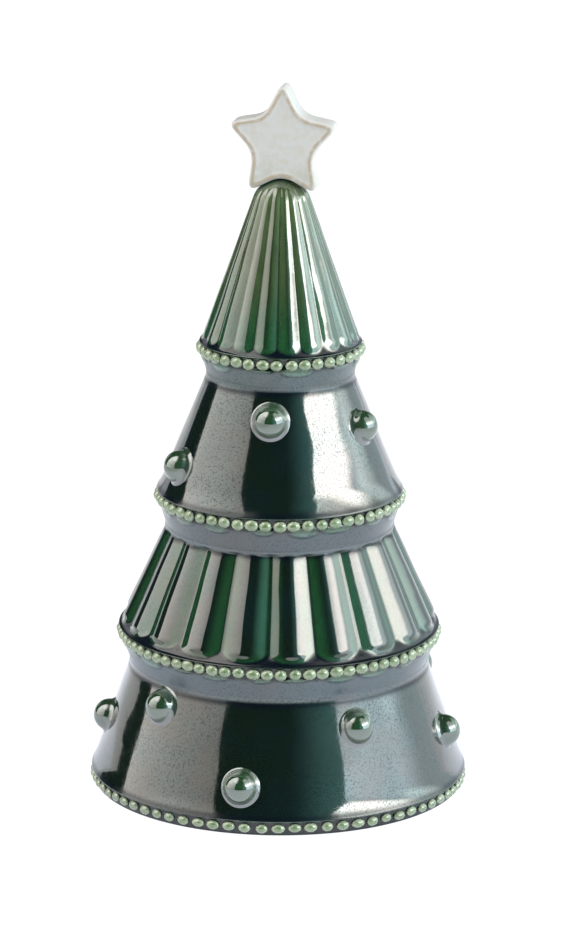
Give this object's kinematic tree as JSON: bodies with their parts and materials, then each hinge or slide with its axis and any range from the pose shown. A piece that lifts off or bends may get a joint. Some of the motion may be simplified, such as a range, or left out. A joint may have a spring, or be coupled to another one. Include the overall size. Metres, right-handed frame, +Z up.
{
  "type": "ceramic christmas tree",
  "caption": "Free-standing glazed stoneware tree: stacked hollow tiers, ribbed and plain, beaded rims, round studs and a star on the tip.",
  "frame": {"origin": "centre of the tree's axis on the surface that it stands on", "axes": "+Z up along the tree's axis; -Y is the front, which the star faces a little turned"},
  "size_m": [0.122, 0.122, 0.2267],
  "materials": {
    "green_glaze": "glossy dark green reactive glaze with a pale lustre and fine speckle",
    "bead_glaze": "glossy pale green where the glaze breaks thin over the beads",
    "stud_glaze": "glossy mid green, darker round the foot of the stud",
    "star_glaze": "satin off-white with tan edges"
  },
  "bodies": {
    "root": {"base_tier": "green_glaze", "lower_tier": "green_glaze", "upper_tier": "green_glaze", "top_tier": "green_glaze", "star": "star_glaze", "base_beads": "bead_glaze", "lower_beads": "bead_glaze", "upper_beads": "bead_glaze", "top_beads": "bead_glaze", "upper_stud_1": "stud_glaze", "upper_stud_2": "stud_glaze", "upper_stud_3": "stud_glaze", "upper_stud_4": "stud_glaze", "upper_stud_5": "stud_glaze", "base_stud_1": "stud_glaze", "base_stud_2": "stud_glaze", "base_stud_3": "stud_glaze", "base_stud_4": "stud_glaze", "base_stud_5": "stud_glaze", "base_stud_6": "stud_glaze", "base_stud_7": "stud_glaze", "base_stud_8": "stud_glaze", "base_stud_9": "stud_glaze"}
  },
  "joints": []
}
